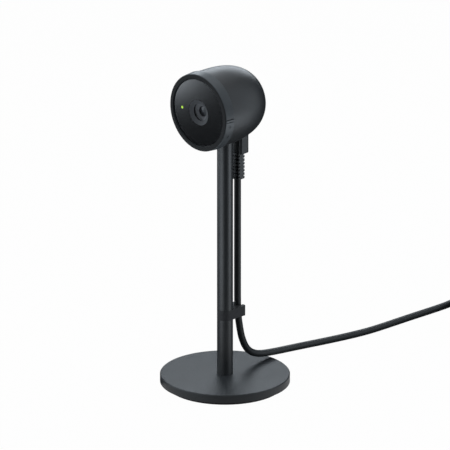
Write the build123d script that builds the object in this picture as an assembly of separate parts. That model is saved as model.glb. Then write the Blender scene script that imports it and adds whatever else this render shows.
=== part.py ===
from build123d import *

import os
from math import cos, hypot, pi, radians, sin, tan

# Desk webcam: a round camera head that tilts on a single pole over a weighted round base.
# Millimetres. Origin in the middle of the underside, +Z up, the camera looks along -Y.
# On the head, "s" is the distance back from the ring's front edge, along +Y.

# Base and pole
BASE_R = 37.0
BASE_H = 4.7
BASE_CHAMFER = 0.4
FOOT_R = 33.3
FOOT_H = 2.35
POLE_R = 4.55
POLE_WALL = 1.8
POLE_SEAT = 0.8
SCREW_R = 2.0
SCREW_HEAD_R = 3.5
SCREW_HEAD_H = 1.8
SCREW_GRIP = 10.0
SCREW_SOCKET = 1.25
WASHER_R = 4.5
WASHER_H = 0.5
INSERT_H = 14.0

# Cable clip, flush with the pole
CLIP_Z = 40.0
CLIP_H = 6.0
CLIP_GROOVE = 0.9
CLIP_ARM = 2.45
CLIP_LIP = 0.15
CLIP_CORNER = 0.8

# Head outside
HEAD_Z = 169.5
HEAD_FRONT = 21.75
REAR_SPACE = 8.55
HUB_R = 20.5
RING_W = 6.2
RING_WALL_FRONT = 2.02
RING_WALL_REAR = 2.47
RING_CHAMFER = 0.5
RING_LIP = 0.5
RING_LIP_W = 1.15
SEAM = 0.3
SHELL_WALL = 1.8
SPIGOT_GAP = 0.1
SPIGOT_L = 1.5
SHELL_STRAIGHT = 9.3
SHELL_POWER = 3
TICK_W = 1.2
TICK_H = 0.3
TICK_GROOVE = 0.45
TICK_DEPTH = 0.6
MARK_R = 0.9
MARK_LINE = 0.3
MARK_DEPTH = 0.2
MARK_ANGLES = (-9.0, -25.0)

# Hub, panel and bezel
HUB_WALL = 1.6
HUB_PLATE_H = 0.8
FLANGE_H = 1.4
FLANGE_W = 4.9
LIP_GAP = 0.25
PANEL_INSET = 1.1
PANEL_S = 0.75
PANEL_H = 1.45
BEZEL_R = 7.4
BEZEL_HOLE_R = 5.0
BEZEL_DEPTH = 1.1
SNAP_INSET = 1.15
SNAP_W = 0.7
SNAP_DEPTH = 0.42
SNAP_GAP_ANGLE = 12.0
HUB_SCREW_R = 1.0
HUB_SCREW_HEAD_R = 1.8
HUB_SCREW_HEAD_H = 1.2
HUB_SCREW_LENGTH = 6.0
HUB_SCREW_INSET = 3.7
HUB_SCREW_ANGLES = (30.0, 150.0, 210.0, 330.0)
BOSS_R = 2.2
BOSS_LENGTH = 7.5
BOSS_WEB = 2.4

# Privacy shutter: a pin on the ring swings the blade about a fixed pivot
RING_TURN = 40.0
BLADE_RATIO = 1.92
BLADE_GAP = 0.15
BLADE_ROOM = 0.1
BLADE_H = 0.4
BLADE_R = 5.7
BLADE_ARM_W = 4.0
BLADE_BOSS_R = 2.2
BLADE_LEVER_SPARE = 1.7
BLADE_LEVER_W = 3.4
BLADE_PIN_R = 0.8
DRIVE_PIN_R = 0.6
DRIVE_PIN_INSET = 2.5
DRIVE_TAB_ANGLE = 4.0
DRIVE_SLACK = 0.2
WINDOW_SPARE_ANGLE = 10.0
WINDOW_DEPTH = 4.2

# Lens, sensor and light
BARREL_R = 5.2
BARREL_FRONT_L = 3.6
BARREL_THREAD_L = 3.4
BARREL_THREAD_R = 4.6
FUNNEL_DEPTH = 1.2
LENS_BORE_R = 3.1
LENS_THROAT_R = 2.4
LENS_DEPTH = 2.6
LENS_H = 1.0
LENS_CROWN = 0.35
REAR_DEPTH = 1.6
FILTER_H = 0.3
HOLDER_GAP = 0.5
HOLDER_WALL = 2.4
SENSOR_GAP = 0.3
BOARD_H = 1.0
SENSOR_W = 6.4
SENSOR_D = 5.4
SENSOR_H = 0.8
BOARD_ABOVE_LUGS = 1.0
SENSOR_BOARD_HIGH = 9.5
POST_INSET = 2.0
POST_Z = 6.0
POST_R = 1.8
SMALL_SCREW_R = 0.8
SMALL_HEAD_R = 1.5
SMALL_HEAD_H = 0.9
SMALL_SCREW_LENGTH = 4.0
LED_INSET = 7.25
LED_SIZE = 2.4
LED_H = 0.8
PIPE_R = 0.75
PIPE_COLLAR_R = 1.8
PIPE_COLLAR_H = 0.6
WING_HALF = 3.5

# Main board, its socket and the ribbon cable
MAIN_W = 16.0
MAIN_H = 22.0
MAIN_T = 1.2
MAIN_CORNER = 2.7
MAIN_SCREW_X = 6.2
MAIN_SCREW_INSET = 2.5
CHIP = 8.0
CHIP_H = 1.0
CONNECTOR_W = 8.0
CONNECTOR_H = 3.0
CONNECTOR_D = 1.2
RIBBON_Z = 4.0
RIBBON_W = 6.0
RIBBON_T = 0.3
RIBBON_SAG = 3.0
SOCKET_W = 8.94
SOCKET_D = 3.26
SOCKET_WALL = 0.3
SOCKET_L = 7.3
TONGUE_W = 6.6
TONGUE_T = 0.7
TONGUE_SINK = 1.2

# Tilt hinge
PIVOT_RISE = 9.9
TILT_DOWN = 20.0
TILT_UP = 3.0
KNUCKLE_R = 4.0
KNUCKLE_HALF = 4.4
KNUCKLE_FLANGE = 1.0
KNUCKLE_SHANK = 12.0
POLE_TO_PIVOT = 6.0
PIN_R = 1.5
PIN_HEAD_R = 2.6
PIN_HEAD_H = 1.5
FRICTION_H = 1.0
LUG_T = 2.6
LUG_HALF = 4.5
BRACKET_T = 1.6
BRACKET_EDGE = 1.2
BRACKET_SCREW_X = 3.0
SPRING_WASHER_H = 0.6
NUT_H = 2.2
NUT_FLATS = 5.5

# Plug and strain relief, the same at both ends of the cable
PLUG_GAP = 1.92
PLUG_W = 12.4
PLUG_D = 7.2
PLUG_CORNER = 1.8
PLUG_EDGE = 0.75
PLUG_L = 15.1
PLUG_SINK = 6.4
PLUG_TIP_W = 8.25
PLUG_TIP_D = 2.4
PLUG_TIP_L = 6.3
PLUG_TIP_WALL = 0.3
RELIEF_W = 6.8
RELIEF_D = 6.2
RELIEF_CORNER = 1.4
RELIEF_EDGE = 0.5
RELIEF_L = 16.1
RELIEF_GROOVES = 7
RELIEF_PITCH = 2.1
RELIEF_GROOVE_H = 1.0
RELIEF_GROOVE_D = 1.7
RELIEF_WALL = 0.35
WELL_WALL = 0.8

# Cable
CORD_R = 2.0
COIL_TURNS = 8.5
COIL_MIN_R = 12.55
COIL_PITCH = 4.45
COIL_Y = 200.0
COIL_GAP_LEAST = 0.4
LEAD_END_X = -0.9
ARC_SHARE = 0.45
TIE_T = 0.6
TIE_W = 9.0
TIE_CORNER = 1.5

# Clearances
FIT = 0.03
RUN = 0.08
PIN_RUN = 0.05
LOOSE = 0.4
SLOT_SPARE = 0.45

# Places worked out from the sizes
BASE_TOP = FOOT_H + BASE_H
POLE_FOOT = BASE_TOP - POLE_SEAT
POLE_BORE_R = POLE_R - POLE_WALL
SHELL_IN_R = HUB_R + SPIGOT_GAP
SHELL_R = SHELL_IN_R + SHELL_WALL
SHELL_S = RING_W + SEAM
PIVOT_Z = HEAD_Z - SHELL_R + PIVOT_RISE
POLE_TOP = PIVOT_Z - POLE_TO_PIVOT
GROOVE_R = POLE_R - CLIP_GROOVE
RING_BORE_R = HUB_R + RUN
RING_FRONT_R = RING_BORE_R + RING_WALL_FRONT
RING_REAR_R = RING_BORE_R + RING_WALL_REAR
RING_LIP_R = HUB_R - RING_LIP
HUB_IN_R = HUB_R - HUB_WALL
HUB_S = RING_LIP_W + LIP_GAP
HUB_REAR_S = SHELL_S + SPIGOT_L
FLANGE_S = HUB_REAR_S - FLANGE_H
SNAP_S = RING_W - SNAP_INSET
HUB_SCREW_PLACE = HUB_R - HUB_SCREW_INSET
PANEL_R = HUB_R - PANEL_INSET
PANEL_BACK_S = PANEL_S + PANEL_H
BLADE_S = PANEL_BACK_S + BLADE_GAP
HUB_PLATE_S = BLADE_S + BLADE_H + BLADE_ROOM
PLATE_BACK_S = HUB_PLATE_S + HUB_PLATE_H
DRIVE_PIN_PLACE = HUB_R - DRIVE_PIN_INSET
BLADE_PIVOT = DRIVE_PIN_PLACE / 2
BLADE_LEVER = DRIVE_PIN_PLACE - BLADE_PIVOT + BLADE_LEVER_SPARE
BLADE_TURN = RING_TURN * BLADE_RATIO
WINDOW_HALF = RING_TURN / 2 + DRIVE_TAB_ANGLE + WINDOW_SPARE_ANGLE
BARREL_S = HUB_PLATE_S + PIN_RUN
BARREL_NECK_S = BARREL_S + BARREL_FRONT_L
BARREL_END_S = BARREL_NECK_S + BARREL_THREAD_L
LENS_SEAT_S = BARREL_S + LENS_DEPTH
REAR_SEAT_S = BARREL_END_S - REAR_DEPTH
HOLDER_S = BARREL_NECK_S + HOLDER_GAP
SENSOR_BOARD_S = BARREL_END_S + SENSOR_GAP + SENSOR_H
BOARD_BACK_S = SENSOR_BOARD_S + BOARD_H
SENSOR_BOARD_LOW = PIVOT_Z + LUG_HALF + BOARD_ABOVE_LUGS - HEAD_Z
HOLDER_HALF = BARREL_THREAD_R + HOLDER_WALL
POST_X = HOLDER_HALF + LOOSE / 2 + POST_R
BOARD_HALF = POST_X + POST_INSET
LED_X = LED_INSET - HUB_R
BRACKET_SCREW_Z = -HUB_SCREW_PLACE
BRACKET_LOW = BRACKET_SCREW_Z - BRACKET_EDGE
PLUG_Y = POLE_R + PLUG_GAP + PLUG_D / 2
PLUG_TOP = HEAD_Z - SHELL_R + PLUG_SINK
WELL_TOP = PLUG_TOP + LOOSE / 2
RELIEF_Z = PLUG_TOP - PLUG_L - RELIEF_L
MAIN_FRONT = PLUG_Y + SOCKET_D / 2
MAIN_FRONT_S = MAIN_FRONT + HEAD_FRONT
MAIN_BACK_S = MAIN_FRONT_S + MAIN_T
MAIN_LOW = WELL_TOP + WELL_WALL + LOOSE / 2 - HEAD_Z
MAIN_SCREW_Z = MAIN_LOW + MAIN_H - MAIN_SCREW_INSET
HEAD_LENGTH = MAIN_BACK_S + REAR_SPACE
LUG_X = KNUCKLE_HALF + FRICTION_H
LUG_OUT = LUG_X + LUG_T
COIL_OUT_R = COIL_MIN_R + COIL_PITCH * COIL_TURNS / 2
COIL_X = LEAD_END_X + COIL_OUT_R
TAIL_X = COIL_X + COIL_OUT_R
COIL_Z = TIE_T + PIN_RUN + CORD_R
TAIL_Z = COIL_Z + COIL_PITCH
FAR_Z = PLUG_D / 2

# The cable's route, chosen by hand: beside the pole, over the base, back along the table
LEAD_ROUTE = [
    (0, PLUG_Y, CLIP_Z + CLIP_H),
    (0, PLUG_Y, 38.5),
    (0, 11.2, 31.0),
    (0, 13.65, 24.0),
    (0, 18.15, 17.45),
    (0, 25.3, 12.95),
    (0, 36.0, 10.35),
    (0, 58.0, 7.9),
    (0, 84.0, 5.2),
    (0, 107.0, 2.95),
    (-0.3, 122.0, CORD_R),
    (-0.7, 147.0, CORD_R),
    (LEAD_END_X, 172.0, CORD_R),
    (LEAD_END_X, 184.0, COIL_Z),
    (LEAD_END_X, COIL_Y - 2 * CORD_R, COIL_Z),
]
TAIL_ROUTE = [
    (TAIL_X, COIL_Y - 2 * CORD_R, TAIL_Z),
    (TAIL_X, 187.0, TAIL_Z),
    (TAIL_X, 176.0, FAR_Z),
    (TAIL_X, 168.0, FAR_Z),
]

STANDING = (Align.CENTER, Align.CENTER, Align.MIN)
HEAD_SIDE = Plane((0, -HEAD_FRONT, HEAD_Z), x_dir=(0, 1, 0), z_dir=(1, 0, 0))
HEAD_AXIS = Axis((0, -HEAD_FRONT, HEAD_Z), (0, 1, 0))


# Shared shapes
def disc(radius, low, high, x=0, y=0):
    """A round bar standing along Z."""
    return Pos(x, y, low) * Cylinder(radius, high - low, align=STANDING)


def block(x0, x1, y0, y1, z0, z1):
    """A box between two corners."""
    middle = Pos((x0 + x1) / 2, (y0 + y1) / 2, (z0 + z1) / 2)
    return middle * Box(x1 - x0, y1 - y0, z1 - z0)


def rod(radius, s0, s1, x=0, z=0):
    """A round bar along the head's axis, at x and z from that axis."""
    foot = Plane((x, s0 - HEAD_FRONT, HEAD_Z + z), z_dir=(0, 1, 0))
    return foot * Cylinder(radius, s1 - s0, align=STANDING)


def cross_bar(radius, x0, x1):
    """A round bar along X on the tilt axis."""
    return Plane((x0, 0, PIVOT_Z), z_dir=(1, 0, 0)) * Cylinder(radius, x1 - x0, align=STANDING)


def head_block(x0, x1, s0, s1, z0, z1):
    """A box in the head's own measures."""
    return block(x0, x1, s0 - HEAD_FRONT, s1 - HEAD_FRONT, HEAD_Z + z0, HEAD_Z + z1)


def turned(*points):
    """A solid of revolution about the head's axis from its (s, radius) outline."""
    return revolve(HEAD_SIDE * make_face(Polyline(*points, close=True)), HEAD_AXIS)


def plate(outline, s0, s1):
    """A flat piece square to the head's axis, from its outline as seen from the front."""
    face = Plane((0, s1 - HEAD_FRONT, HEAD_Z), x_dir=(1, 0, 0), z_dir=(0, -1, 0))
    return extrude(face * outline, s1 - s0)


def polar(radius, angle):
    """A point on the head's front view, with angles counted from +X towards +Z."""
    return (radius * cos(radians(angle)), radius * sin(radians(angle)))


def sector(inner, outer, start, sweep):
    """An arc-shaped outline on the head's front view."""
    inside = CenterArc((0, 0), inner, start, sweep)
    outside = CenterArc((0, 0), outer, start, sweep)
    ends = [Line(inside @ 0, outside @ 0), Line(inside @ 1, outside @ 1)]
    return make_face([inside, outside] + ends)


def bar(start, end, width):
    """A flat bar outline between two points."""
    run = Vector(*end) - Vector(*start)
    middle = (Vector(*start) + Vector(*end)) / 2
    turn = Vector(1, 0, 0).get_signed_angle(run, Vector(0, 0, 1))
    return Pos(middle.X, middle.Y) * Rot(0, 0, turn) * Rectangle(run.length, width)


def head_screw(places, head_s, direction, radius, head_r, head_h, length):
    """Screws along the head's axis, heads on the face at head_s, driven in the given direction."""
    solids = []
    for x, z in places:
        tip = head_s + direction * length
        top = head_s - direction * head_h
        shank = rod(radius, min(head_s, tip), max(head_s, tip), x, z)
        solids.append(shank + rod(head_r, min(head_s, top), max(head_s, top), x, z))
    return Compound(solids)


# Stand
def base_plate():
    body = disc(BASE_R, FOOT_H, BASE_TOP)
    body = chamfer(body.edges().group_by(Axis.Z)[-1], BASE_CHAMFER)
    body -= disc(POLE_R + FIT, POLE_FOOT, BASE_TOP)
    body -= disc(SCREW_R + LOOSE / 2, FOOT_H, BASE_TOP)
    return body - disc(WASHER_R + LOOSE, FOOT_H, FOOT_H + SCREW_HEAD_H + WASHER_H)


def foot_pad():
    return disc(FOOT_R, 0, FOOT_H)


def base_screw():
    head_top = FOOT_H + SCREW_HEAD_H
    body = disc(SCREW_HEAD_R, FOOT_H, head_top)
    body += disc(SCREW_R, head_top, POLE_FOOT + SCREW_GRIP)
    socket = extrude(RegularPolygon(SCREW_SOCKET, 6, major_radius=False), SCREW_HEAD_H / 2)
    return body - Pos(0, 0, FOOT_H) * socket


def base_washer():
    low = FOOT_H + SCREW_HEAD_H
    return disc(WASHER_R, low, low + WASHER_H) - disc(SCREW_R + FIT, low, low + WASHER_H)


def pole_tube():
    body = disc(POLE_R, POLE_FOOT, POLE_TOP) - disc(POLE_BORE_R, POLE_FOOT, POLE_TOP)
    groove = disc(POLE_R + LOOSE, CLIP_Z, CLIP_Z + CLIP_H) - disc(GROOVE_R, CLIP_Z, CLIP_Z + CLIP_H)
    return body - groove


def pole_insert():
    body = disc(POLE_BORE_R - FIT, POLE_FOOT, POLE_FOOT + INSERT_H)
    return body - disc(SCREW_R + FIT, POLE_FOOT, POLE_FOOT + INSERT_H)


def hinge_knuckle():
    body = disc(POLE_BORE_R - FIT, POLE_TOP - KNUCKLE_SHANK, POLE_TOP)
    body += disc(POLE_R, POLE_TOP, POLE_TOP + KNUCKLE_FLANGE)
    low = POLE_TOP + KNUCKLE_FLANGE / 2
    neck = block(-KNUCKLE_HALF, KNUCKLE_HALF, -KNUCKLE_R, KNUCKLE_R, low, PIVOT_Z)
    body += neck & disc(POLE_R, POLE_TOP, PIVOT_Z)
    body += cross_bar(KNUCKLE_R, -KNUCKLE_HALF, KNUCKLE_HALF)
    return body - cross_bar(PIN_R + PIN_RUN, -2 * KNUCKLE_HALF, 2 * KNUCKLE_HALF)


def cable_clip():
    seat = CORD_R + PIN_RUN
    half = seat + CLIP_ARM
    rear = PLUG_Y + seat + CLIP_LIP
    outline = Circle(POLE_R) + Pos(0, rear / 2) * Rectangle(2 * half, rear)
    outline = fillet(outline.vertices().group_by(Axis.Y)[-1], CLIP_CORNER)
    outline -= Circle(GROOVE_R + FIT)
    outline -= Pos(0, PLUG_Y) * Circle(seat)
    outline -= Pos(0, PLUG_Y + rear / 2) * Rectangle(2 * seat, rear)
    return Pos(0, 0, CLIP_Z) * extrude(outline, CLIP_H)


# Head shell
def dome(radius, length, front):
    """The head's outer or inner shape: straight, then rounding off to the back as a superellipse."""
    bend = length - SHELL_STRAIGHT
    power = 2 / SHELL_POWER
    angles = [radians(a) for a in (0, 20, 40, 55, 68, 80, 90)]
    rim = [(SHELL_STRAIGHT + bend * sin(a) ** power, radius * cos(a) ** power) for a in angles[:-1]]
    curve = Spline(*rim, (length, 0), tangents=[(1, 0), (0, -1)])
    lines = Polyline((length, 0), (front, 0), (front, radius), (SHELL_STRAIGHT, radius))
    return revolve(HEAD_SIDE * make_face(curve + lines), HEAD_AXIS)


def screw_places():
    return [polar(HUB_SCREW_PLACE, angle) for angle in HUB_SCREW_ANGLES]


def main_screw_places():
    return [(MAIN_SCREW_X, MAIN_SCREW_Z), (-MAIN_SCREW_X, MAIN_SCREW_Z)]


def pocket(growth, low, high):
    """The upright space round the plug in the head's underside, or the wall round it."""
    outline = RectangleRounded(PLUG_W + 2 * growth, PLUG_D + 2 * growth, PLUG_CORNER + growth)
    return Pos(0, PLUG_Y, low) * extrude(outline, high - low)


def pole_slot():
    """The opening under the head that lets the pole swing."""
    low = HEAD_Z - SHELL_R
    drop = PIVOT_Z - low
    front = POLE_R / cos(radians(TILT_DOWN)) + drop * tan(radians(TILT_DOWN)) + SLOT_SPARE
    rear = POLE_R / cos(radians(TILT_UP)) + drop * tan(radians(TILT_UP)) + SLOT_SPARE - RUN
    half = POLE_R + SLOT_SPARE
    return block(-half, half, -front, rear, low - SHELL_WALL, low + 2 * SHELL_WALL)


def head_shell():
    outside = dome(SHELL_R, HEAD_LENGTH, SHELL_S)
    inside = dome(SHELL_IN_R, HEAD_LENGTH - SHELL_WALL, SHELL_S)
    under = HEAD_Z - SHELL_R
    inner = pocket(LOOSE + WELL_WALL, under, WELL_TOP + WELL_WALL)
    for x, z in screw_places():
        inner += rod(BOSS_R, HUB_REAR_S, HUB_REAR_S + BOSS_LENGTH, x, z)
        far = Vector(x, z).normalized() * SHELL_R
        inner += plate(bar((x, z), (far.X, far.Y), BOSS_WEB), HUB_REAR_S, HUB_REAR_S + BOSS_LENGTH)
    for x, z in main_screw_places():
        inner += rod(BOSS_R, MAIN_BACK_S, HEAD_LENGTH, x, z)
    body = outside - (inside - inner)
    body -= pole_slot()
    body -= pocket(LOOSE, under - LOOSE, WELL_TOP)
    body -= socket_block(LOOSE / 2, WELL_TOP - LOOSE, WELL_TOP + 2 * WELL_WALL)
    for x, z in screw_places():
        body -= rod(HUB_SCREW_R + FIT, HUB_REAR_S, HUB_REAR_S + HUB_SCREW_LENGTH, x, z)
    for x, z in main_screw_places():
        body -= rod(SMALL_SCREW_R + FIT, MAIN_BACK_S, MAIN_BACK_S + SMALL_SCREW_LENGTH, x, z)
    return body


# Hub and what turns on it
def front_hub():
    body = turned(
        (HUB_S, HUB_R),
        (HUB_REAR_S, HUB_R),
        (HUB_REAR_S, HUB_R - FLANGE_W),
        (FLANGE_S, HUB_R - FLANGE_W),
        (FLANGE_S, HUB_IN_R),
        (PLATE_BACK_S, HUB_IN_R),
        (PLATE_BACK_S, BARREL_R + LOOSE / 2),
        (HUB_PLATE_S, BARREL_R + LOOSE / 2),
        (HUB_PLATE_S, HUB_IN_R),
        (PANEL_BACK_S, HUB_IN_R),
        (PANEL_BACK_S, PANEL_R + PIN_RUN),
        (HUB_S, PANEL_R + PIN_RUN),
    )
    for x, z in post_places():
        body += rod(POST_R, PLATE_BACK_S, SENSOR_BOARD_S, x, z)
    for x, z in bracket_places():
        body += rod(BOSS_R, PLATE_BACK_S, FLANGE_S, x, z)
        body -= rod(HUB_SCREW_R + FIT, PLATE_BACK_S, HUB_REAR_S, x, z)
    for x, z in screw_places():
        body -= rod(HUB_SCREW_HEAD_R + LOOSE, HUB_PLATE_S, PLATE_BACK_S, x, z)
        body -= rod(HUB_SCREW_R + PIN_RUN, FLANGE_S, HUB_REAR_S, x, z)
    for x, z in post_places():
        deep = SENSOR_BOARD_S - SMALL_SCREW_LENGTH
        body -= rod(SMALL_SCREW_R + FIT, deep, SENSOR_BOARD_S, x, z)
    window = sector(HUB_R - WINDOW_DEPTH, HUB_R + SEAM, 90 - WINDOW_HALF, 2 * WINDOW_HALF)
    body -= plate(window, HUB_S, PLATE_BACK_S)
    body -= rod(BLADE_PIN_R + FIT, HUB_PLATE_S, PLATE_BACK_S, 0, BLADE_PIVOT)
    body -= rod(PIPE_R + PIN_RUN, HUB_PLATE_S, PLATE_BACK_S, LED_X, 0)
    return body - snap_groove(HUB_R - SNAP_DEPTH, HUB_R + SEAM)


def snap_groove(inner, outer):
    """The round space that the snap ring lies in."""
    front = SNAP_S - RUN
    back = SNAP_S + SNAP_W + RUN
    return rod(outer, front, back) - rod(inner, front, back)


def snap_ring():
    inner = HUB_R - SNAP_DEPTH + FIT
    outer = RING_BORE_R + SNAP_DEPTH - RUN
    return plate(sector(inner, outer, 270 + SNAP_GAP_ANGLE / 2, 360 - SNAP_GAP_ANGLE), SNAP_S, SNAP_S + SNAP_W)


def ring_surface(offset, start):
    """A band over the ring's tapered outside, from start to the ring's rear edge."""
    slope = (RING_REAR_R - RING_FRONT_R) / RING_W
    low = RING_FRONT_R + offset
    return turned(
        (start, RING_LIP_R + SEAM),
        (start, low + slope * start),
        (RING_W, low + slope * RING_W),
        (RING_W, RING_LIP_R + SEAM),
    )


def shutter_ring():
    body = turned(
        (0, RING_LIP_R),
        (0, RING_FRONT_R - RING_CHAMFER),
        (RING_CHAMFER, RING_FRONT_R),
        (RING_W, RING_REAR_R),
        (RING_W, RING_BORE_R),
        (RING_LIP_W, RING_BORE_R),
        (RING_LIP_W, RING_LIP_R),
    )
    beside = TICK_W / 2 + TICK_GROOVE
    outside = RING_REAR_R + 2 * TICK_H
    side = head_block(HUB_R, outside, RING_CHAMFER, RING_W, -beside, beside)
    rib = head_block(HUB_R, outside, RING_CHAMFER, RING_W, -TICK_W / 2, TICK_W / 2)
    bore = rod(RING_BORE_R, 0, RING_W)
    body -= side - ring_surface(-TICK_DEPTH, 0)
    body += (rib & ring_surface(TICK_H, RING_CHAMFER)) - bore
    for number, angle in enumerate(MARK_ANGLES):
        body -= ring_mark(angle, open_circle=number == 0)
    body -= snap_groove(0, RING_BORE_R + SNAP_DEPTH)
    middle = 90 + RING_TURN / 2
    inner = DRIVE_PIN_PLACE - 2 * DRIVE_PIN_R
    tab = sector(inner, RING_BORE_R + SEAM, middle - DRIVE_TAB_ANGLE, 2 * DRIVE_TAB_ANGLE)
    body += plate(tab, HUB_PLATE_S + RUN, PLATE_BACK_S - RUN)
    x, z = polar(DRIVE_PIN_PLACE, middle)
    return body + rod(DRIVE_PIN_R, BLADE_S - RUN, PLATE_BACK_S - RUN, x, z)


def ring_mark(angle, open_circle):
    """A round mark sunk in the ring's side: an open circle or a dot."""
    x, z = polar((RING_FRONT_R + RING_REAR_R) / 2 - MARK_DEPTH, angle)
    place = Plane((x, RING_W / 2 - HEAD_FRONT, HEAD_Z + z), z_dir=(x, 0, z))
    outline = Circle(MARK_R)
    if open_circle:
        outline -= Circle(MARK_R - MARK_LINE)
    return extrude(place * outline, MARK_DEPTH + RING_CHAMFER)


def shutter_blade():
    pivot = Vector(0, BLADE_PIVOT)
    lever = 90 + BLADE_TURN / 2
    along = Vector(*polar(1, lever))
    shade = pivot + Vector(*polar(BLADE_PIVOT, BLADE_TURN - 90))
    tip = pivot + along * BLADE_LEVER
    slot_start = pivot + along * (DRIVE_PIN_PLACE - BLADE_PIVOT - DRIVE_SLACK)
    slot_half = DRIVE_PIN_R + DRIVE_SLACK
    outline = Pos(shade.X, shade.Y) * Circle(BLADE_R)
    outline += bar((pivot.X, pivot.Y), (shade.X, shade.Y), BLADE_ARM_W)
    outline += Pos(pivot.X, pivot.Y) * Circle(BLADE_BOSS_R)
    outline += bar((pivot.X, pivot.Y), (tip.X, tip.Y), BLADE_LEVER_W)
    outline -= Pos(slot_start.X, slot_start.Y) * Circle(slot_half)
    past = tip + along * slot_half
    outline -= bar((slot_start.X, slot_start.Y), (past.X, past.Y), 2 * slot_half)
    outline -= Pos(pivot.X, pivot.Y) * Circle(BLADE_PIN_R + PIN_RUN)
    return plate(outline, BLADE_S, BLADE_S + BLADE_H)


def shutter_pivot():
    body = rod(BLADE_PIN_R, BLADE_S - RUN, PLATE_BACK_S, 0, BLADE_PIVOT)
    return body + rod(2 * BLADE_PIN_R, PLATE_BACK_S, PLATE_BACK_S + HUB_PLATE_H, 0, BLADE_PIVOT)


def front_panel():
    body = rod(PANEL_R, PANEL_S, PANEL_BACK_S) - rod(BEZEL_R + PIN_RUN, PANEL_S, PANEL_BACK_S)
    return body - rod(PIPE_R + PIN_RUN, PANEL_S, PANEL_BACK_S, LED_X, 0)


def lens_bezel():
    return turned(
        (PANEL_S, BEZEL_R),
        (PANEL_BACK_S, BEZEL_R),
        (PANEL_BACK_S, BEZEL_HOLE_R),
        (PANEL_S + BEZEL_DEPTH, BEZEL_HOLE_R),
    )


def hub_screws():
    grip = FLANGE_H + HUB_SCREW_LENGTH - LOOSE
    return head_screw(screw_places(), FLANGE_S, 1, HUB_SCREW_R, HUB_SCREW_HEAD_R, HUB_SCREW_HEAD_H, grip)


# Lens, sensor and light
def lens_barrel():
    funnel_s = BARREL_S + FUNNEL_DEPTH
    return turned(
        (BARREL_S, BARREL_R - FIT),
        (BARREL_S, BARREL_R),
        (BARREL_NECK_S, BARREL_R),
        (BARREL_NECK_S, BARREL_THREAD_R),
        (BARREL_END_S, BARREL_THREAD_R),
        (BARREL_END_S, LENS_BORE_R),
        (REAR_SEAT_S, LENS_BORE_R),
        (REAR_SEAT_S, LENS_THROAT_R),
        (LENS_SEAT_S, LENS_THROAT_R),
        (LENS_SEAT_S, LENS_BORE_R),
        (funnel_s, LENS_BORE_R),
    )


def crowned_lens(front_s):
    """A lens with a domed front and a flat back."""
    edge_r = LENS_BORE_R - FIT
    back_s = front_s + LENS_H
    edge_s = front_s + LENS_CROWN
    ball = (edge_r**2 + LENS_CROWN**2) / (2 * LENS_CROWN)
    half = (front_s + ball - (ball**2 - (edge_r / 2) ** 2) ** 0.5, edge_r / 2)
    crown = ThreePointArc((front_s, 0), half, (edge_s, edge_r))
    sides = Polyline((edge_s, edge_r), (back_s, edge_r), (back_s, 0), (front_s, 0))
    return revolve(HEAD_SIDE * make_face(crown + sides), HEAD_AXIS)


def front_lens():
    return crowned_lens(LENS_SEAT_S - LENS_H)


def rear_lens():
    return rod(LENS_BORE_R - FIT, REAR_SEAT_S, REAR_SEAT_S + LENS_H)


def infrared_filter():
    start = REAR_SEAT_S + LENS_H
    return rod(LENS_BORE_R - FIT, start, start + FILTER_H)


def lens_holder():
    half = HOLDER_HALF
    body = head_block(-half, half, HOLDER_S, SENSOR_BOARD_S, -half, half)
    return body - rod(BARREL_THREAD_R + FIT, HOLDER_S, SENSOR_BOARD_S)


def image_sensor():
    front = SENSOR_BOARD_S - SENSOR_H
    return head_block(-SENSOR_W / 2, SENSOR_W / 2, front, SENSOR_BOARD_S, -SENSOR_D / 2, SENSOR_D / 2)


def post_places():
    return [(-POST_X, POST_Z), (POST_X, POST_Z)]


def sensor_board():
    half = BOARD_HALF
    body = head_block(-half, half, SENSOR_BOARD_S, BOARD_BACK_S, SENSOR_BOARD_LOW, SENSOR_BOARD_HIGH)
    wing = LED_X - LED_SIZE
    body += head_block(wing, 0, SENSOR_BOARD_S, BOARD_BACK_S, -WING_HALF, WING_HALF)
    for x, z in post_places():
        body -= rod(SMALL_SCREW_R + PIN_RUN, SENSOR_BOARD_S, BOARD_BACK_S, x, z)
    for x, z in screw_places():
        body -= rod(BOSS_R + LOOSE, SENSOR_BOARD_S, BOARD_BACK_S, x, z)
    return body


def sensor_screws():
    length = BOARD_H + SMALL_SCREW_LENGTH - LOOSE
    return head_screw(post_places(), BOARD_BACK_S, -1, SMALL_SCREW_R, SMALL_HEAD_R, SMALL_HEAD_H, length)


def status_light():
    half = LED_SIZE / 2
    return head_block(LED_X - half, LED_X + half, SENSOR_BOARD_S - LED_H, SENSOR_BOARD_S, -half, half)


def light_pipe():
    body = rod(PIPE_R, PANEL_S, SENSOR_BOARD_S - LED_H - RUN, LED_X, 0)
    return body + rod(PIPE_COLLAR_R, PLATE_BACK_S, PLATE_BACK_S + PIPE_COLLAR_H, LED_X, 0)


# Main board
def main_board():
    outline = Pos(0, MAIN_LOW + MAIN_H / 2) * Rectangle(MAIN_W, MAIN_H)
    outline = chamfer(outline.vertices().group_by(Axis.Y)[0], MAIN_CORNER)
    body = plate(outline, MAIN_FRONT_S, MAIN_BACK_S)
    for x, z in main_screw_places():
        body -= rod(SMALL_SCREW_R + PIN_RUN, MAIN_FRONT_S, MAIN_BACK_S, x, z)
    return body


def main_screws():
    length = MAIN_T + SMALL_SCREW_LENGTH - LOOSE
    return head_screw(main_screw_places(), MAIN_FRONT_S, 1, SMALL_SCREW_R, SMALL_HEAD_R, SMALL_HEAD_H, length)


def processor():
    low = MAIN_LOW + MAIN_H / 2 - CHIP / 2
    return head_block(-CHIP / 2, CHIP / 2, MAIN_BACK_S, MAIN_BACK_S + CHIP_H, low, low + CHIP)


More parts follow.
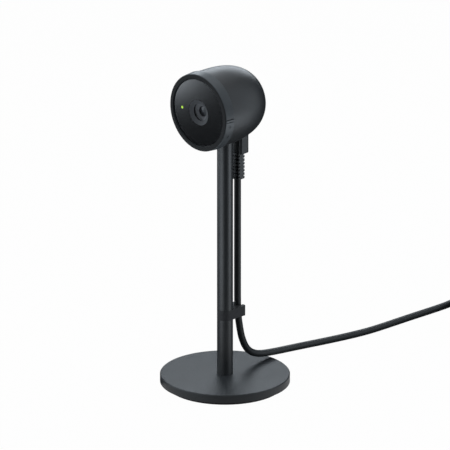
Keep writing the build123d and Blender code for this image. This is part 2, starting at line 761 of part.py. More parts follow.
def ribbon_connectors():
    low = RIBBON_Z - CONNECTOR_H / 2
    half = CONNECTOR_W / 2
    return Compound([
        head_block(-half, half, BOARD_BACK_S, BOARD_BACK_S + CONNECTOR_D, low, low + CONNECTOR_H),
        head_block(-half, half, MAIN_FRONT_S - CONNECTOR_D, MAIN_FRONT_S, low, low + CONNECTOR_H),
    ])


def ribbon_cable():
    start = BOARD_BACK_S + CONNECTOR_D
    end = MAIN_FRONT_S - CONNECTOR_D
    step = (end - start) / 4
    points = [(start, RIBBON_Z), (start + step, RIBBON_Z), (end - step, RIBBON_Z), (end, RIBBON_Z)]
    points.insert(2, ((start + end) / 2, RIBBON_Z + RIBBON_SAG))
    path = HEAD_SIDE * FilletPolyline(*points, radius=step / 2)
    section = Plane(path @ 0, x_dir=(1, 0, 0), z_dir=path % 0) * Rectangle(RIBBON_W, RIBBON_T)
    return sweep(section, path=path)


def socket_block(growth, low, high):
    """The rounded outline of the USB-C socket, standing over the plug."""
    depth = SOCKET_D + 2 * growth
    outline = SlotOverall(SOCKET_W + 2 * growth, depth)
    return Pos(0, PLUG_Y, low) * extrude(outline, high - low)


def usb_socket():
    top = WELL_TOP + SOCKET_L
    body = socket_block(0, WELL_TOP, top) - socket_block(-SOCKET_WALL, WELL_TOP, top - SOCKET_WALL)
    tongue_low = WELL_TOP + TONGUE_SINK
    half = TONGUE_T / 2
    return body + block(-TONGUE_W / 2, TONGUE_W / 2, PLUG_Y - half, PLUG_Y + half, tongue_low, top)


# Tilt hinge inside the head
def bracket_places():
    return [(-BRACKET_SCREW_X, BRACKET_SCREW_Z), (BRACKET_SCREW_X, BRACKET_SCREW_Z)]


def hinge_bracket():
    front = HUB_REAR_S - HEAD_FRONT
    high = PIVOT_Z + LUG_HALF
    low = HEAD_Z + BRACKET_LOW
    body = block(-LUG_OUT, LUG_OUT, front, front + BRACKET_T, low, high)
    for x0, x1 in ((-LUG_OUT, -LUG_X), (LUG_X, LUG_OUT)):
        body += block(x0, x1, front, 0, PIVOT_Z - LUG_HALF, high)
        body += cross_bar(LUG_HALF, x0, x1)
    body -= cross_bar(PIN_R + FIT, -LUG_OUT, LUG_OUT)
    reach = HOLDER_HALF + LOOSE
    body -= head_block(-reach, reach, HOLDER_S, SENSOR_BOARD_S, -reach, reach)
    for x, z in bracket_places():
        body -= rod(HUB_SCREW_R + PIN_RUN, HUB_REAR_S, HUB_REAR_S + BRACKET_T, x, z)
    return body


def bracket_screws():
    grip = BRACKET_T + FLANGE_H + HUB_PLATE_H
    face = HUB_REAR_S + BRACKET_T
    return head_screw(bracket_places(), face, -1, HUB_SCREW_R, HUB_SCREW_HEAD_R, HUB_SCREW_HEAD_H, grip)


def hinge_pin():
    end = LUG_OUT + SPRING_WASHER_H + NUT_H
    return cross_bar(PIN_R, -LUG_OUT, end) + cross_bar(PIN_HEAD_R, -LUG_OUT - PIN_HEAD_H, -LUG_OUT)


def friction_washers():
    solids = []
    for start in (-LUG_X + PIN_RUN, KNUCKLE_HALF + PIN_RUN):
        end = start + FRICTION_H - 2 * PIN_RUN
        solids.append(cross_bar(KNUCKLE_R, start, end) - cross_bar(PIN_R + PIN_RUN, start, end))
    return Compound(solids)


def spring_washer():
    end = LUG_OUT + SPRING_WASHER_H
    return cross_bar(2 * PIN_R, LUG_OUT, end) - cross_bar(PIN_R + PIN_RUN, LUG_OUT, end)


def hinge_nut():
    start = LUG_OUT + SPRING_WASHER_H
    outline = RegularPolygon(NUT_FLATS / 2, 6, major_radius=False) - Circle(PIN_R + FIT)
    return extrude(Plane((start, 0, PIVOT_Z), z_dir=(1, 0, 0)) * outline, NUT_H)


# Plug pieces, made standing with the cable's end at the origin
def plug_relief():
    """A block on the cable with slots across both its flat sides, down to the cable's sleeve."""
    body = extrude(RectangleRounded(RELIEF_W, RELIEF_D, RELIEF_CORNER), RELIEF_L)
    body = fillet(body.edges().group_by(Axis.Z)[0], RELIEF_EDGE)
    sleeve = disc(CORD_R + RELIEF_WALL, 0, RELIEF_L)
    inside = RELIEF_D / 2 - RELIEF_GROOVE_D
    low = (RELIEF_L - (RELIEF_GROOVES - 1) * RELIEF_PITCH - RELIEF_GROOVE_H) / 2
    for number in range(RELIEF_GROOVES):
        start = low + number * RELIEF_PITCH
        for y0, y1 in ((-RELIEF_D, -inside), (inside, RELIEF_D)):
            body -= block(-RELIEF_W, RELIEF_W, y0, y1, start, start + RELIEF_GROOVE_H) - sleeve
    return body


def plug_body():
    body = Pos(0, 0, RELIEF_L) * extrude(RectangleRounded(PLUG_W, PLUG_D, PLUG_CORNER), PLUG_L)
    return fillet(body.edges().group_by(Axis.Z)[0], PLUG_EDGE)


def plug_tip():
    inside = SlotOverall(PLUG_TIP_W - 2 * PLUG_TIP_WALL, PLUG_TIP_D - 2 * PLUG_TIP_WALL)
    start = RELIEF_L + PLUG_L
    return Pos(0, 0, start) * extrude(SlotOverall(PLUG_TIP_W, PLUG_TIP_D) - inside, PLUG_TIP_L)


def near_place():
    return Pos(0, PLUG_Y, RELIEF_Z)


def far_place():
    x, y, z = TAIL_ROUTE[-1]
    return Plane((x, y, z), x_dir=(1, 0, 0), z_dir=(0, -1, 0))


# Cable
def cord_radii(points):
    """At each corner of a route, the largest arc that its two runs allow."""
    radii = []
    for before, at, after in zip(points, points[1:], points[2:]):
        run_in = Vector(*at) - Vector(*before)
        run_out = Vector(*after) - Vector(*at)
        half_turn = radians(run_in.get_angle(run_out)) / 2
        radii.append(ARC_SHARE * min(run_in.length, run_out.length) / tan(half_turn))
    return radii


def cord_tube(path):
    """A round tube along a path."""
    return sweep(Plane(path @ 0, z_dir=path % 0) * Circle(CORD_R), path=path)


def routed_cord(name, points):
    radii = cord_radii(points)
    print(name, "radii", [round(radius, 1) for radius in radii])
    return measured_cord(name, FilletPolyline(*points, radius=radii))


def measured_cord(name, path):
    """The tube along a path, with its volume beside its section times its length."""
    tube = cord_tube(path)
    ratio = tube.volume / (pi * CORD_R**2 * path.length)
    print(name, "length", round(path.length, 1), "volume ratio", round(ratio, 4))
    return tube


def cable_drop():
    return disc(CORD_R, CLIP_Z + CLIP_H, RELIEF_Z, 0, PLUG_Y)


def coil_point(turn):
    """A point of the coil: it winds in along the table, climbs a layer and winds out again."""
    angle = pi / 2 - 2 * pi * turn
    radius = COIL_MIN_R + COIL_PITCH * abs(turn)
    climb = min(max(turn + 0.25, 0), 0.5) * 2
    rise = COIL_PITCH * (1 - cos(pi * climb)) / 2
    return Vector(COIL_X + radius * cos(angle), COIL_Y + radius * sin(angle), COIL_Z + rise)


def coil_direction(turn):
    step = 0.001
    return (coil_point(turn + step) - coil_point(turn - step)).normalized()


def biarc(start, leave, end, arrive):
    """Two arcs that join two points and are tangent to both directions and to each other."""
    chord = end - start
    spread = leave + arrive
    square = 2 * (1 - leave.dot(arrive))
    linear = 2 * chord.dot(spread)
    reach = (-linear + (linear**2 + 4 * square * chord.dot(chord)) ** 0.5) / (2 * square)
    joint = (start + leave * reach + end - arrive * reach) / 2
    first = TangentArc(start, joint, tangent=leave)
    return [first, TangentArc(joint, end, tangent=first % 1)]


def cable_coil():
    count = round(4 * COIL_TURNS)
    turns = [number / 4 - COIL_TURNS / 2 for number in range(count + 1)]
    points = [coil_point(turn) for turn in turns]
    ways = [coil_direction(turn) for turn in turns]
    ways[0] = Vector(0, 1, 0)
    ways[-1] = Vector(0, -1, 0)
    lead = Vector(0, 2 * CORD_R, 0)
    edges = [Line(points[0] - lead, points[0])]
    for number in range(count):
        edges += biarc(points[number], ways[number], points[number + 1], ways[number + 1])
    edges.append(Line(points[-1], points[-1] - lead))
    print("coil least gap to itself", round(coil_gap(edges), 2), "over", COIL_GAP_LEAST)
    return measured_cord("cable_coil", Wire(edges))


def coil_tie():
    """A closed band round all the turns on the far side of the coil."""
    near = COIL_Y + ((COIL_MIN_R - CORD_R) ** 2 - (TIE_W / 2) ** 2) ** 0.5 - SEAM
    far = COIL_Y + COIL_OUT_R - COIL_PITCH / 4 + CORD_R + SEAM
    depth = far - near
    height = TAIL_Z + CORD_R + PIN_RUN - TIE_T
    middle = (COIL_X - TIE_W / 2, (near + far) / 2, TIE_T + height / 2)
    face = Plane(middle, x_dir=(0, 1, 0), z_dir=(1, 0, 0))
    outline = RectangleRounded(depth + 2 * TIE_T, height + 2 * TIE_T, TIE_CORNER)
    outline -= RectangleRounded(depth, height, TIE_CORNER - TIE_T)
    return extrude(face * outline, TIE_W)


def coil_gap(edges):
    """The least clear space between turns, on points along the path."""
    points = [edge @ (step / 6) for edge in edges for step in range(6)]
    apart = round(len(points) / COIL_TURNS / 2)
    least = min(
        hypot(a.X - b.X, a.Y - b.Y, a.Z - b.Z)
        for number, a in enumerate(points)
        for b in points[number + apart:]
    )
    return least - 2 * CORD_R


NODES = {
    "base_plate": base_plate(),
    "foot_pad": foot_pad(),
    "base_screw": base_screw(),
    "base_washer": base_washer(),
    "pole_tube": pole_tube(),
    "pole_insert": pole_insert(),
    "hinge_knuckle": hinge_knuckle(),
    "cable_clip": cable_clip(),
    "head_shell": head_shell(),
    "front_hub": front_hub(),
    "hub_screws": hub_screws(),
    "snap_ring": snap_ring(),
    "shutter_ring": shutter_ring(),
    "shutter_blade": shutter_blade(),
    "shutter_pivot": shutter_pivot(),
    "front_panel": front_panel(),
    "lens_bezel": lens_bezel(),
    "lens_barrel": lens_barrel(),
    "front_lens": front_lens(),
    "rear_lens": rear_lens(),
    "infrared_filter": infrared_filter(),
    "lens_holder": lens_holder(),
    "image_sensor": image_sensor(),
    "sensor_board": sensor_board(),
    "sensor_screws": sensor_screws(),
    "status_light": status_light(),
    "light_pipe": light_pipe(),
    "main_board": main_board(),
    "main_screws": main_screws(),
    "processor": processor(),
    "ribbon_connectors": ribbon_connectors(),
    "ribbon_cable": ribbon_cable(),
    "usb_socket": usb_socket(),
    "hinge_bracket": hinge_bracket(),
    "bracket_screws": bracket_screws(),
    "hinge_pin": hinge_pin(),
    "friction_washers": friction_washers(),
    "spring_washer": spring_washer(),
    "hinge_nut": hinge_nut(),
    "plug_relief": near_place() * plug_relief(),
    "plug_body": near_place() * plug_body(),
    "plug_tip": near_place() * plug_tip(),
    "cable_drop": cable_drop(),
    "cable_lead": routed_cord("cable_lead", LEAD_ROUTE),
    "cable_coil": cable_coil(),
    "coil_tie": coil_tie(),
    "cable_tail": routed_cord("cable_tail", TAIL_ROUTE),
    "far_plug_relief": far_place() * plug_relief(),
    "far_plug_body": far_place() * plug_body(),
    "far_plug_tip": far_place() * plug_tip(),
}

os.makedirs("parts", exist_ok=True)
for name, shape in NODES.items():
    export_step(shape, f"parts/{name}.step")
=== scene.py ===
from math import atan2, cos, pi, radians, sin

import bpy
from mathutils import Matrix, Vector


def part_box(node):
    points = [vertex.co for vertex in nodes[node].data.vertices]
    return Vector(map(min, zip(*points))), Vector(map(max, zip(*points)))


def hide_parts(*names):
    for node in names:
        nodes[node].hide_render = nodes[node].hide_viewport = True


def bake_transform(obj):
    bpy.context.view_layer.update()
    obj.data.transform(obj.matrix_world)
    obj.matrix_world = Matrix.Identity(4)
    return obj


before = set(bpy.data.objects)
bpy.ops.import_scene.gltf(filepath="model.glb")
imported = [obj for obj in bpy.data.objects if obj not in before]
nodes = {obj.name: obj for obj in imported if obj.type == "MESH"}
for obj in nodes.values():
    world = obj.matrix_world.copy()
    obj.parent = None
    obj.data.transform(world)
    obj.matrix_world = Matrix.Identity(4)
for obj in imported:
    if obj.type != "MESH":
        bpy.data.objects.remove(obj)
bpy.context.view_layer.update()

MM = 0.001

# The cable's route, in millimetres, from the strain relief at the head to the far plug
CORD_R = 2.0
PLUG_Y = 10.07
RELIEF_Z = 122.3
COIL_TURNS = 8.5
COIL_MIN_R = 12.55
COIL_PITCH = 4.45
COIL_Y = 200.0
COIL_Z = 2.65
COIL_POINTS = 16
LEAD_END_X = -0.9
FAR_Z = 3.6
COIL_OUT_R = COIL_MIN_R + COIL_PITCH * COIL_TURNS / 2
COIL_X = LEAD_END_X + COIL_OUT_R
TAIL_X = COIL_X + COIL_OUT_R
TAIL_Z = COIL_Z + COIL_PITCH

DROP_ROUTE = [
    (0, PLUG_Y, RELIEF_Z),
    (0, PLUG_Y, 99.0),
    (0, PLUG_Y, 70.0),
]
LEAD_ROUTE = [
    (0, PLUG_Y, 46.0),
    (0, 10.6, 38.5),
    (0, 11.95, 31.0),
    (0, 13.5, 24.5),
    (0, 17.5, 16.6),
    (0, 24.8, 11.9),
    (0, 36.0, 9.9),
    (0.1, 58.0, 7.7),
    (0.6, 84.0, 5.0),
    (0.7, 107.0, 2.9),
    (0.5, 122.0, CORD_R),
    (0.8, 147.0, CORD_R),
    (1.6, 168.0, CORD_R),
    (2.0, 182.0, 2.2),
    (0, 191.0, COIL_Z),
    (LEAD_END_X, 197.0, COIL_Z),
]
TAIL_ROUTE = [
    (TAIL_X, 196.0, TAIL_Z),
    (TAIL_X, 187.0, TAIL_Z),
    (TAIL_X, 176.0, FAR_Z),
    (TAIL_X, 168.0, FAR_Z),
]


def coil_point(turn):
    """A point of the coil: it winds in along the table, climbs a layer and winds out again."""
    angle = pi / 2 - 2 * pi * turn
    radius = COIL_MIN_R + COIL_PITCH * abs(turn)
    climb = min(max(turn + 0.25, 0), 0.5) * 2
    rise = COIL_PITCH * (1 - cos(pi * climb)) / 2
    return (COIL_X + radius * cos(angle), COIL_Y + radius * sin(angle), COIL_Z + rise)


def coil_route():
    count = round(COIL_TURNS * COIL_POINTS)
    return [coil_point(number / COIL_POINTS - COIL_TURNS / 2) for number in range(count + 1)]


# Materials. Grain, edge and lip sizes are in millimetres
BROAD_GRAIN = 14.0
BLOTCH_LOW, BLOTCH_HIGH = 0.12, 0.4
FINE_LOW, FINE_HIGH = 0.3, 0.7


def linear(code):
    """An sRGB hex colour as linear values."""
    parts = [int(code[i : i + 2], 16) / 255 for i in (1, 3, 5)]
    return [c / 12.92 if c <= 0.04045 else ((c + 0.055) / 1.055) ** 2.4 for c in parts] + [1.0]


def per_metre(size_mm):
    """A texture scale whose features are about this large."""
    return 1 / (size_mm * MM)


def add(tree, kind, settings, inputs):
    """Adds a node with its settings, and sets or links its inputs."""
    made = tree.nodes.new(kind)
    for name, value in settings.items():
        setattr(made, name, value)
    for name, value in inputs.items():
        if isinstance(value, bpy.types.NodeSocket):
            tree.links.new(value, made.inputs[name])
        else:
            made.inputs[name].default_value = value
    return made


def surface(name, dark, light, grain, rough, relief, edge, shader):
    """A material whose colour and roughness vary a little with its grain, with softened edges."""
    made = bpy.data.materials.new(name)
    made.use_nodes = True
    tree = made.node_tree
    tree.nodes.clear()
    place = add(tree, "ShaderNodeTexCoord", {}, {}).outputs["Object"]
    fine = add(
        tree,
        "ShaderNodeTexNoise",
        {},
        {"Vector": place, "Scale": per_metre(grain), "Detail": 3.0},
    )
    broad = add(
        tree,
        "ShaderNodeTexNoise",
        {},
        {"Vector": place, "Scale": per_metre(BROAD_GRAIN), "Detail": 2.0},
    )
    blotch = add(
        tree,
        "ShaderNodeMath",
        {"operation": "MULTIPLY"},
        {0: fine.outputs[0], 1: broad.outputs[0]},
    )
    share = add(
        tree,
        "ShaderNodeMapRange",
        {},
        {"Value": blotch.outputs[0], "From Min": BLOTCH_LOW, "From Max": BLOTCH_HIGH},
    )
    colour = add(
        tree,
        "ShaderNodeMix",
        {"data_type": "RGBA"},
        {0: share.outputs[0], 6: linear(dark), 7: linear(light)},
    )
    gloss = add(
        tree,
        "ShaderNodeMapRange",
        {},
        {
            "Value": fine.outputs[0],
            "From Min": FINE_LOW,
            "From Max": FINE_HIGH,
            "To Min": rough[0],
            "To Max": rough[1],
        },
    )
    corner = add(tree, "ShaderNodeBevel", {"samples": 4}, {"Radius": edge * MM})
    bump = add(
        tree,
        "ShaderNodeBump",
        {},
        {
            "Height": fine.outputs[0],
            "Strength": relief,
            "Distance": grain * MM / 2,
            "Normal": corner.outputs[0],
        },
    )
    body = add(
        tree,
        "ShaderNodeBsdfPrincipled",
        {},
        {
            "Base Color": colour.outputs[2],
            "Roughness": gloss.outputs[0],
            "Normal": bump.outputs[0],
            **shader,
        },
    )
    add(tree, "ShaderNodeOutputMaterial", {}, {"Surface": body.outputs[0]})
    return made


# Pressed steel, powder coated: a fine pebbled skin that scatters light into a soft grey sheen
powder_steel = surface(
    "powder_coated_steel",
    dark="#1c1e20",
    light="#232628",
    grain=0.5,
    rough=(0.42, 0.52),
    relief=0.12,
    edge=0.25,
    shader={"Specular IOR Level": 0.26},
)
# Drawn steel tube in satin paint: a little smoother than the base, so light runs down it in two soft stripes
satin_steel = surface(
    "satin_painted_steel",
    dark="#191b1c",
    light="#1f2123",
    grain=0.4,
    rough=(0.4, 0.47),
    relief=0.05,
    edge=0.15,
    shader={"Specular IOR Level": 0.5},
)
# Moulded ABS with a spark-eroded texture: an even, low sheen. The real pits are under 0.1 mm across,
# too fine to show, so they are drawn at 0.3 mm
head_abs = surface(
    "spark_textured_abs",
    dark="#1b1d1f",
    light="#212325",
    grain=0.3,
    rough=(0.4, 0.48),
    relief=0.06,
    edge=0.12,
    shader={"Specular IOR Level": 0.5},
)
# The same ABS from a finer tool, with less sheen. Its paler tint is painted light for the brighter light on
# the ring's side, so the ring stands out from the shell
ring_abs_painted_light = surface(
    "satin_moulded_abs",
    dark="#373b3e",
    light="#3e4245",
    grain=0.3,
    rough=(0.38, 0.44),
    relief=0.05,
    edge=0.1,
    shader={"Specular IOR Level": 0.35},
)
# Plain black ABS inside the head: dull, with hardly any highlight
inner_abs = surface(
    "black_abs",
    dark="#141516",
    light="#1a1b1c",
    grain=0.3,
    rough=(0.5, 0.6),
    relief=0.06,
    edge=0.15,
    shader={"Specular IOR Level": 0.3},
)
# Moulded polypropylene: waxy and matte, with soft faint highlights
clip_pp = surface(
    "matte_polypropylene",
    dark="#1c1c1e",
    light="#222325",
    grain=0.35,
    rough=(0.6, 0.7),
    relief=0.1,
    edge=0.2,
    shader={"Specular IOR Level": 0.3},
)
# Black acrylic sheet, polished: a deep black that mirrors the room in one smooth gradient
panel_acrylic = surface(
    "black_acrylic",
    dark="#0a0a0b",
    light="#0c0d0e",
    grain=0.4,
    rough=(0.15, 0.17),
    relief=0.0,
    edge=0.1,
    shader={"Specular IOR Level": 0.5},
)
# Moulded polycarbonate, matte: a plain dark grey cone round the lens
bezel_pc = surface(
    "grey_polycarbonate",
    dark="#323335",
    light="#3a3b3d",
    grain=0.25,
    rough=(0.6, 0.7),
    relief=0.05,
    edge=0.1,
    shader={"Specular IOR Level": 0.15},
)
# Polycarbonate, quite flat: its pale grey is painted light, which lifts the recessed barrel to the
# brightness of the lit bezel cone beside it
barrel_pc_painted_light = surface(
    "pale_painted_polycarbonate",
    dark="#4c4d4f",
    light="#56575a",
    grain=0.25,
    rough=(0.6, 0.7),
    relief=0.05,
    edge=0.1,
    shader={"Specular IOR Level": 0.2},
)
# Thermoplastic rubber, moulded on the plugs: soft and dark, with dull rounded highlights
plug_tpe = surface(
    "moulded_thermoplastic_rubber",
    dark="#161819",
    light="#1c1e1f",
    grain=0.3,
    rough=(0.4, 0.5),
    relief=0.05,
    edge=0.2,
    shader={"Specular IOR Level": 0.38},
)
# The same rubber, extruded as the cable's sheath: smooth and even, with a dull stripe of light along it
cable_tpe = surface(
    "extruded_thermoplastic_rubber",
    dark="#1b1d1e",
    light="#202223",
    grain=0.8,
    rough=(0.5, 0.54),
    relief=0.0,
    edge=0.0,
    shader={"Specular IOR Level": 0.3},
)
# Moulded rubber: dark and dry, with no clear highlight
foot_rubber = surface(
    "foot_rubber",
    dark="#121213",
    light="#1a1a1b",
    grain=0.5,
    rough=(0.7, 0.8),
    relief=0.2,
    edge=0.2,
    shader={"Specular IOR Level": 0.3},
)
# Nickel-plated steel: a bright metal with a faintly warm grey, slightly dulled by the barrel plating
plated_steel = surface(
    "nickel_plated_steel",
    dark="#a9abad",
    light="#bcbdbf",
    grain=0.4,
    rough=(0.25, 0.35),
    relief=0.03,
    edge=0.1,
    shader={"Metallic": 1.0},
)
# Turned brass: a yellow metal with a soft polish
turned_brass = surface(
    "turned_brass",
    dark="#b0883e",
    light="#c39a4b",
    grain=0.4,
    rough=(0.25, 0.35),
    relief=0.03,
    edge=0.1,
    shader={"Metallic": 1.0},
)
# Glass-epoxy board under green solder mask: glossy, mottled by the copper beneath
board_fr4 = surface(
    "solder_mask_board",
    dark="#12402a",
    light="#1d5c3a",
    grain=1.2,
    rough=(0.35, 0.5),
    relief=0.1,
    edge=0.1,
    shader={"Specular IOR Level": 0.5},
)
# Natural nylon: creamy and slightly waxy
ivory_nylon = surface(
    "ivory_nylon",
    dark="#d5cfbb",
    light="#e2ddcb",
    grain=0.4,
    rough=(0.5, 0.6),
    relief=0.05,
    edge=0.1,
    shader={"Specular IOR Level": 0.4},
)
# Polyimide film: a glossy amber skin over the copper traces
amber_film = surface(
    "polyimide_film",
    dark="#8a4d10",
    light="#a86218",
    grain=0.8,
    rough=(0.3, 0.4),
    relief=0.03,
    edge=0.05,
    shader={"Specular IOR Level": 0.5},
)
# Coated optical glass over a black cavity: dark grey with one soft glint
lens_glass = surface(
    "coated_lens_glass",
    dark="#17191c",
    light="#202327",
    grain=0.8,
    rough=(0.3, 0.34),
    relief=0.0,
    edge=0.05,
    shader={"IOR": 1.52, "Specular IOR Level": 0.35},
)
# Tinted acrylic light pipe, lit from behind: an even yellow-green glow
light_lens = surface(
    "lit_tinted_acrylic",
    dark="#86ae10",
    light="#98c018",
    grain=0.4,
    rough=(0.25, 0.3),
    relief=0.0,
    edge=0.05,
    shader={"Emission Color": linear("#b4dc1c"), "Emission Strength": 0.45},
)

# The ring's front lip is coloured near-black as painted shade for the dark front of the ring, and is made
# matte. The painted shade fades out between these two depths behind the ring's front
LIP_SHADE_START = 0.1
LIP_SHADE_END = 0.4
LIP_PAINTED_SHADE = "#0a0b0c"
LIP_ROUGHNESS = 0.9
ring_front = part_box("shutter_ring")[0][1]
ring_tree = ring_abs_painted_light.node_tree
ring_body = ring_tree.nodes["Principled BSDF"]
ring_place = add(ring_tree, "ShaderNodeTexCoord", {}, {}).outputs["Object"]
ring_depth = add(ring_tree, "ShaderNodeSeparateXYZ", {}, {"Vector": ring_place}).outputs["Y"]
ring_unshaded_share = add(
    ring_tree,
    "ShaderNodeMapRange",
    {},
    {
        "Value": ring_depth,
        "From Min": ring_front + LIP_SHADE_START * MM,
        "From Max": ring_front + LIP_SHADE_END * MM,
    },
)
# Near-black painted shade at the lip, the ring's own colour behind it
ring_colour_with_painted_shade = add(
    ring_tree,
    "ShaderNodeMix",
    {"data_type": "RGBA"},
    {
        0: ring_unshaded_share.outputs[0],
        6: linear(LIP_PAINTED_SHADE),
        7: ring_body.inputs["Base Color"].links[0].from_socket,
    },
)
ring_gloss = add(
    ring_tree,
    "ShaderNodeMix",
    {},
    {
        0: ring_unshaded_share.outputs[0],
        2: LIP_ROUGHNESS,
        3: ring_body.inputs["Roughness"].links[0].from_socket,
    },
)
ring_tree.links.new(ring_colour_with_painted_shade.outputs[2], ring_body.inputs["Base Color"])
ring_tree.links.new(ring_gloss.outputs[0], ring_body.inputs["Roughness"])

FINISHES = {
    powder_steel: ["base_plate"],
    satin_steel: ["pole_tube"],
    foot_rubber: ["foot_pad", "coil_tie"],
    head_abs: ["head_shell"],
    ring_abs_painted_light: ["shutter_ring"],
    inner_abs: ["front_hub", "lens_holder", "shutter_blade", "processor", "image_sensor"],
    clip_pp: ["cable_clip"],
    panel_acrylic: ["front_panel"],
    bezel_pc: ["lens_bezel"],
    barrel_pc_painted_light: ["lens_barrel"],
    plug_tpe: ["plug_relief", "plug_body", "far_plug_relief", "far_plug_body"],
    plated_steel: [
        "base_screw",
        "base_washer",
        "hinge_knuckle",
        "hub_screws",
        "snap_ring",
        "shutter_pivot",
        "sensor_screws",
        "main_screws",
        "usb_socket",
        "hinge_bracket",
        "bracket_screws",
        "hinge_pin",
        "spring_washer",
        "hinge_nut",
        "plug_tip",
        "far_plug_tip",
    ],
    turned_brass: ["pole_insert"],
    board_fr4: ["sensor_board", "main_board"],
    ivory_nylon: ["ribbon_connectors", "friction_washers"],
    amber_film: ["ribbon_cable"],
    lens_glass: ["front_lens", "rear_lens", "infrared_filter"],
    light_lens: ["light_pipe", "status_light"],
}
for finish, names in FINISHES.items():
    for name in names:
        nodes[name].data.materials.clear()
        nodes[name].data.materials.append(finish)

# Cable
CORD_STEPS = 8
CORD_ROUNDNESS = 8
SMOOTH_ANGLE = radians(40)


def cord_curve(points):
    """The route as one smooth line: a quadratic NURBS spline with the route's points as its corners."""
    data = bpy.data.curves.new("cord_line", "CURVE")
    data.dimensions = "3D"
    spline = data.splines.new("NURBS")
    spline.points.add(len(points) - 1)
    for point, place in zip(spline.points, points):
        point.co = (*(value * MM for value in place), 1.0)
    spline.order_u = 3
    spline.use_endpoint_u = True
    data.resolution_u = CORD_STEPS
    made = bpy.data.objects.new("usb_cable", data)
    bpy.context.scene.collection.objects.link(made)
    return made


def cord_tube(curve):
    """The cable's round sheath as a mesh, and the line that it follows."""
    line = bpy.data.meshes.new_from_object(curve)
    path = [vertex.co.copy() for vertex in line.vertices]
    curve.data.bevel_depth = CORD_R * MM
    curve.data.bevel_resolution = CORD_ROUNDNESS
    curve.data.use_fill_caps = True
    bpy.ops.object.select_all(action="DESELECT")
    curve.select_set(True)
    bpy.context.view_layer.objects.active = curve
    bpy.ops.object.convert(target="MESH")
    bpy.ops.object.shade_smooth_by_angle(angle=SMOOTH_ANGLE)
    return curve, path


cable, cable_path = cord_tube(cord_curve(DROP_ROUTE + LEAD_ROUTE + coil_route() + TAIL_ROUTE))
cable.data.materials.append(cable_tpe)
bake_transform(cable)
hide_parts("cable_drop", "cable_lead", "cable_coil", "cable_tail")

# Floor, background and light
FLOOR_HALF = 5.0
FLOOR_GREY = 0.25
FLOOR_GLOW = 0.985
ROOM_LIGHT = 0.18
WHITE = (1, 1, 1, 1)
DAYLIGHT = (0.85, 0.925, 1.0)


def seen(tree):
    """One for what the camera, a reflection or glass looks at, and nothing for light that bounces."""
    ray = add(tree, "ShaderNodeLightPath", {}, {}).outputs
    mirror = add(
        tree,
        "ShaderNodeMath",
        {"operation": "MAXIMUM"},
        {0: ray["Is Camera Ray"], 1: ray["Is Glossy Ray"]},
    )
    return add(
        tree,
        "ShaderNodeMath",
        {"operation": "MAXIMUM"},
        {0: mirror.outputs[0], 1: ray["Is Transmission Ray"]},
    ).outputs[0]


bpy.ops.object.select_all(action="DESELECT")
bpy.ops.mesh.primitive_plane_add(size=2 * FLOOR_HALF)
floor = bpy.context.object
floor.name = "studio_floor"
paper = bpy.data.materials.new("white_paper_sweep")
paper.use_nodes = True
paper_tree = paper.node_tree
paper_tree.nodes.clear()
paper_plain = add(
    paper_tree, "ShaderNodeBsdfDiffuse", {}, {"Color": (FLOOR_GREY, FLOOR_GREY, FLOOR_GREY, 1)}
)
paper_glow = add(paper_tree, "ShaderNodeEmission", {}, {"Color": WHITE, "Strength": 1.0})
paper_share = add(
    paper_tree, "ShaderNodeMath", {"operation": "MULTIPLY"}, {0: seen(paper_tree), 1: FLOOR_GLOW}
)
paper_mix = add(
    paper_tree,
    "ShaderNodeMixShader",
    {},
    {0: paper_share.outputs[0], 1: paper_plain.outputs[0], 2: paper_glow.outputs[0]},
)
add(paper_tree, "ShaderNodeOutputMaterial", {}, {"Surface": paper_mix.outputs[0]})
floor.data.materials.append(paper)

world = bpy.data.worlds.new("studio")
bpy.context.scene.world = world
world.use_nodes = True
sky = world.node_tree
sky.nodes.clear()
sky_level = add(
    sky, "ShaderNodeMapRange", {}, {"Value": seen(sky), "To Min": ROOM_LIGHT, "To Max": 1.0}
)
sky_light = add(
    sky, "ShaderNodeBackground", {}, {"Color": WHITE, "Strength": sky_level.outputs[0]}
)
add(sky, "ShaderNodeOutputWorld", {}, {"Surface": sky_light.outputs[0]})


def softbox(name, place, aim, size, power):
    """A rectangular studio lamp turned towards a point."""
    data = bpy.data.lights.new(name, "AREA")
    data.shape = "RECTANGLE"
    data.size, data.size_y = size
    data.energy = power
    data.color = DAYLIGHT
    lamp = bpy.data.objects.new(name, data)
    bpy.context.scene.collection.objects.link(lamp)
    lamp.visible_camera = False
    lamp.location = place
    lamp.rotation_euler = (Vector(aim) - Vector(place)).to_track_quat("-Z", "Y").to_euler()


# The general light from above, and the sheen on the far side of the base and on the top of the head
softbox("top_softbox", (-0.1, 0.0, 0.75), (0, 0, 0.05), (0.6, 0.6), 3.0)
softbox("back_softbox", (-0.32, 0.42, 0.34), (0, 0, 0.12), (0.4, 0.2), 1.35)
# The soft light on the head's right side
softbox("side_softbox", (0.42, 0.5, 0.5), (0, 0, 0.17), (0.5, 0.5), 1.0)
softbox("side_card", (0.25, 0.25, 0.15), (0, 0, 0.15), (0.22, 0.18), 0.18)
# The left and right stripes on the pole
softbox("front_strip", (-0.02, -0.199, 0.155), (0.009, 0.09, 0.355), (0.12, 0.35), 0.34)
softbox("side_strip", (0.177, 0.094, 0.05), (0, 0, 0.12), (0.13, 0.14), 0.2)
# The pale gradient on the front panel
softbox("panel_card", (-0.28, -0.181, 0.147), (0, -0.02, 0.17), (0.16, 0.16), 0.66)

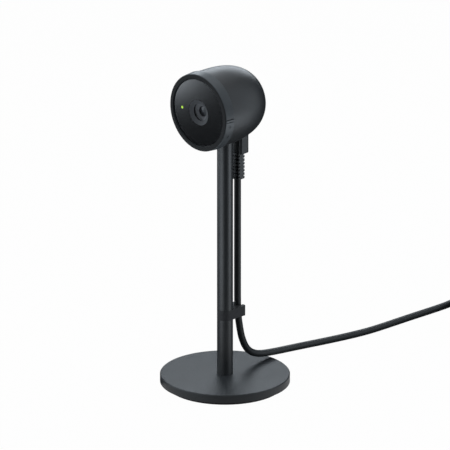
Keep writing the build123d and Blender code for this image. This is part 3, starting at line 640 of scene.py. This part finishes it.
# Black cards beside the object, out of the picture
FLAG_RADIUS = 0.8
FLAG_HEIGHT = 1.1
FLAG_LIFT = 0.0003
FLAG_SIDES = 96
WALL_SIDES = 48
FLAG_HOLE = 0.05
FLAG_HOLE_PLACE = (0.02, -0.005, FLAG_LIFT)
TONGUES = (radians(28), radians(-99))
TONGUE_REACH = 2.5
TONGUE_POWER = 20
FELT_GREY = 0.01
flag_felt = bpy.data.materials.new("black_felt")
flag_felt.use_nodes = True
felt = flag_felt.node_tree.nodes["Principled BSDF"].inputs
felt["Base Color"].default_value = (FELT_GREY, FELT_GREY, FELT_GREY, 1)
felt["Roughness"].default_value = 1.0
felt["Specular IOR Level"].default_value = 0.0


def black_flag(shape):
    """Makes a card that only reflections see."""
    shape.data.materials.append(flag_felt)
    shape.visible_camera = False
    shape.visible_diffuse = False
    shape.visible_transmission = False
    shape.visible_shadow = False


bpy.ops.object.select_all(action="DESELECT")
bpy.ops.mesh.primitive_circle_add(vertices=FLAG_SIDES, radius=FLAG_RADIUS, location=(0, 0, FLAG_LIFT))
floor_flag = bpy.context.object
floor_flag.name = "floor_flag"
bpy.ops.object.mode_set(mode="EDIT")
bpy.ops.mesh.primitive_circle_add(vertices=FLAG_SIDES, radius=FLAG_HOLE, location=FLAG_HOLE_PLACE)
bpy.ops.mesh.select_all(action="SELECT")
bpy.ops.mesh.bridge_edge_loops()
bpy.ops.object.mode_set(mode="OBJECT")
# The opening runs out in two tongues of bare paper, which show low on the pole as its two pale stripes
for vertex in floor_flag.data.vertices:
    turn = atan2(vertex.co.y, vertex.co.x)
    if vertex.co.length < FLAG_RADIUS / 2:
        reach = sum(max(cos(turn - tongue), 0) ** TONGUE_POWER for tongue in TONGUES)
        vertex.co *= 1 + TONGUE_REACH * reach
black_flag(floor_flag)
bpy.ops.mesh.primitive_cylinder_add(
    vertices=WALL_SIDES,
    radius=FLAG_RADIUS,
    depth=FLAG_HEIGHT,
    end_fill_type="NOTHING",
    location=(0, 0, FLAG_HEIGHT / 2),
)
side_flag = bpy.context.object
side_flag.name = "side_flag"
black_flag(side_flag)

# Camera: a long lens stands in for the photograph's parallel view
VIEW_AZIMUTH = radians(45.0)
VIEW_RISE = radians(20.0)
VIEW_WIDTH = 0.2554
VIEW_REACH = 100.0
LENS = 1600.0
SENSOR = 36.0
AIM = Vector((0, 0, 0.0965))
towards = Vector(
    (sin(VIEW_AZIMUTH) * cos(VIEW_RISE), -cos(VIEW_AZIMUTH) * cos(VIEW_RISE), sin(VIEW_RISE))
)
eye = bpy.data.cameras.new("camera")
eye.sensor_width = SENSOR
eye.lens = LENS
eye.clip_end = VIEW_REACH
camera = bpy.data.objects.new("camera", eye)
bpy.context.scene.collection.objects.link(camera)
camera.location = AIM + towards * (VIEW_WIDTH * LENS / SENSOR)
camera.rotation_euler = (-towards).to_track_quat("-Z", "Y").to_euler()
bpy.context.scene.camera = camera
bpy.context.scene.view_settings.view_transform = "Standard"
